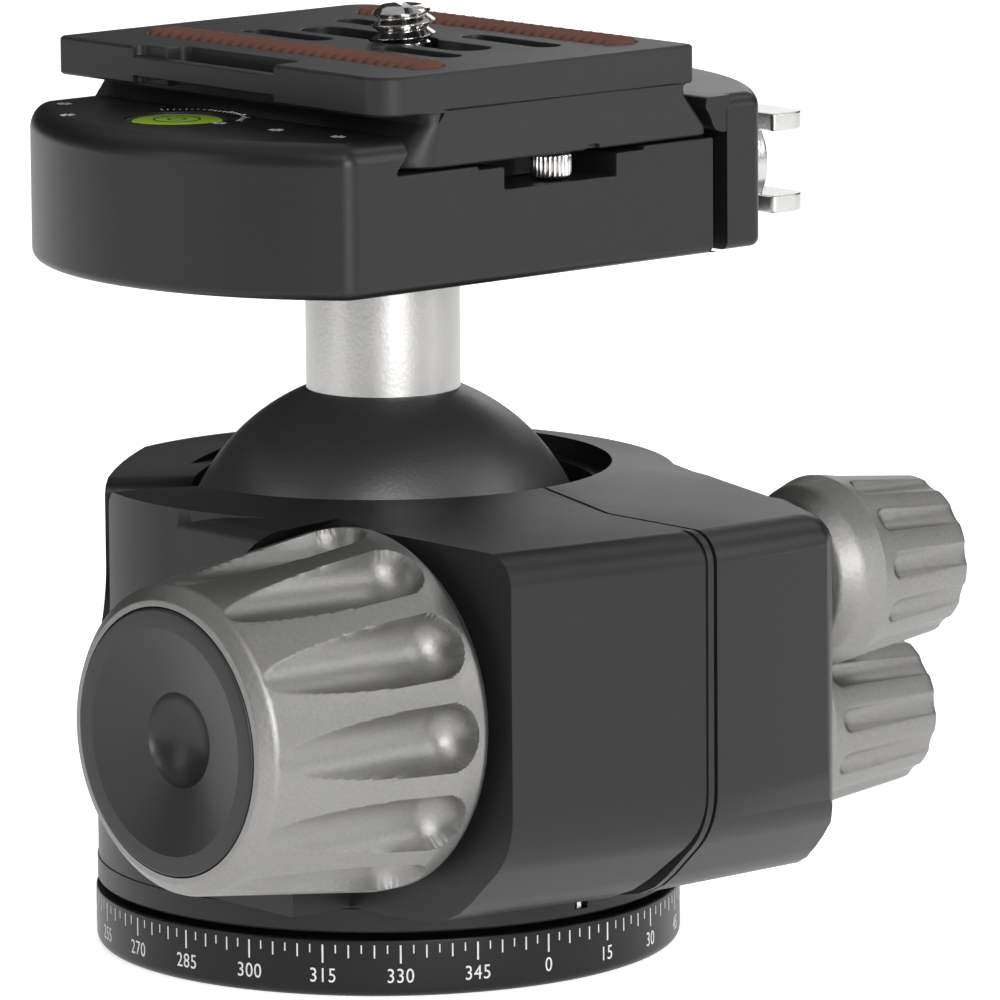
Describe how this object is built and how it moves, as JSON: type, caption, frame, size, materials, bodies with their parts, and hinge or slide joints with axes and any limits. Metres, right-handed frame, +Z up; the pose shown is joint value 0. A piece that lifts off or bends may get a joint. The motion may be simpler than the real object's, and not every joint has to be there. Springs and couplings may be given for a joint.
{
  "type": "tripod ball head",
  "caption": "Tripod ball head with split collar, drop notch, panning base, dovetail screw clamp and quick-release plate; ball tilts, turns and locks by side knobs.",
  "frame": {"origin": "centre of the base's underside", "axes": "+Z up along the panning axis, +X toward the two small knobs, -X toward the large knob, -Y toward the front"},
  "size_m": [0.097, 0.0743, 0.0909],
  "materials": {
    "black_anodised": "fine blasted, black anodised, satin",
    "grey_anodised": "blasted, dark grey anodised",
    "silver_anodised": "bead blasted, clear anodised",
    "steel": "turned, plain",
    "dark_steel": "black oxide",
    "brass": "turned",
    "black_plastic": "moulded",
    "white_plastic": "low-friction plastic",
    "white_paint": "paint filled",
    "green_vial": "clear vial with green liquid",
    "brown_rubber": "ribbed, matte"
  },
  "bodies": {
    "base": {"base_ring": "black_anodised", "tripod_bush": "steel", "pan_washer": "black_plastic", "pan_retainer": "steel", "retainer_screws": "dark_steel"},
    "collar": {"housing": "black_anodised", "index_mark": "white_paint", "ball_liner": "black_plastic", "thrust_washer": "steel", "main_insert": "brass", "tension_insert": "brass"},
    "pan_brake": {"pan_brake_pin": "brass"},
    "main_lock": {"main_knob": "silver_anodised", "main_knob_cap": "black_anodised", "main_screw": "steel"},
    "tension": {"tension_knob": "silver_anodised", "tension_screw": "steel"},
    "pan_lock": {"pan_lock_knob": "silver_anodised", "pan_lock_screw": "steel"},
    "cup": {"ball_cup": "white_plastic"},
    "ball_stem": {"ball": "grey_anodised", "stem": "silver_anodised", "stem_bolt": "dark_steel"},
    "clamp": {"clamp_body": "black_anodised", "level_bezel": "black_plastic", "level_vial": "green_vial"},
    "jaw": {"clamp_jaw": "black_anodised", "guide_pins": "steel"},
    "clamp_lock": {"clamp_screw": "steel", "clamp_knob": "silver_anodised"},
    "quick_plate": {"plate": "black_anodised", "grip_strips": "brown_rubber", "stop_screws": "steel"},
    "camera_stud": {"camera_screw": "steel", "screw_clip": "dark_steel"}
  },
  "joints": [
    {"name": "pan", "type": "hinge", "parent": "base", "child": "collar", "pos_m": [0, 0, 0], "axis": [0, 0, 1], "continuous": true},
    {"name": "main_lock_turn", "type": "hinge", "parent": "collar", "child": "main_lock", "pos_m": [-0.03, -0.0245, 0.029], "axis": [1, 0, 0], "range_deg": [-60, 300]},
    {"name": "tension_turn", "type": "hinge", "parent": "collar", "child": "tension", "pos_m": [0.03, -0.03, 0.0362], "axis": [1, 0, 0], "range_deg": [-60, 300]},
    {"name": "pan_lock_turn", "type": "hinge", "parent": "collar", "child": "pan_lock", "pos_m": [0.03, -0.02, 0.01925], "axis": [1, 0, 0], "range_deg": [-120, 240]},
    {"name": "pan_brake_slide", "type": "slide", "parent": "collar", "child": "pan_brake", "axis": [0, 0, 1], "range_m": [-0.0001, 0.0002]},
    {"name": "ball_roll", "type": "hinge", "parent": "collar", "child": "cup", "pos_m": [0, 0, 0.0354], "axis": [-0.7934, 0.6088, 0], "range_deg": [-10, 21]},
    {"name": "ball_tilt", "type": "hinge", "parent": "cup", "child": "ball_stem", "pos_m": [0, 0, 0.0354], "axis": [-0.6088, -0.7934, 0], "range_deg": [-18, 90]},
    {"name": "ball_spin", "type": "hinge", "parent": "ball_stem", "child": "clamp", "pos_m": [0, 0, 0.0671], "axis": [0, 0, 1], "continuous": true},
    {"name": "jaw_slide", "type": "slide", "parent": "clamp", "child": "jaw", "axis": [1, 0, 0], "range_m": [-0.00024, 0.001]},
    {"name": "clamp_knob_turn", "type": "hinge", "parent": "jaw", "child": "clamp_lock", "pos_m": [0.0455, 0, 0.072], "axis": [1, 0, 0], "range_deg": [-108, 450]},
    {"name": "plate_slide", "type": "slide", "parent": "clamp", "child": "quick_plate", "axis": [0, 1, 0], "range_m": [-0.003, 0.002]},
    {"name": "camera_screw_turn", "type": "hinge", "parent": "quick_plate", "child": "camera_stud", "pos_m": [0.0021, -0.00095, 0.085], "axis": [0, 0, 1], "continuous": true}
  ],
  "couplings": [
    {"joint": "pan_brake_slide", "follows": "pan_lock_turn", "m_per_rad": 0.0000477},
    {"joint": "clamp_knob_turn", "follows": "jaw_slide", "rad_per_m": 7854}
  ]
}
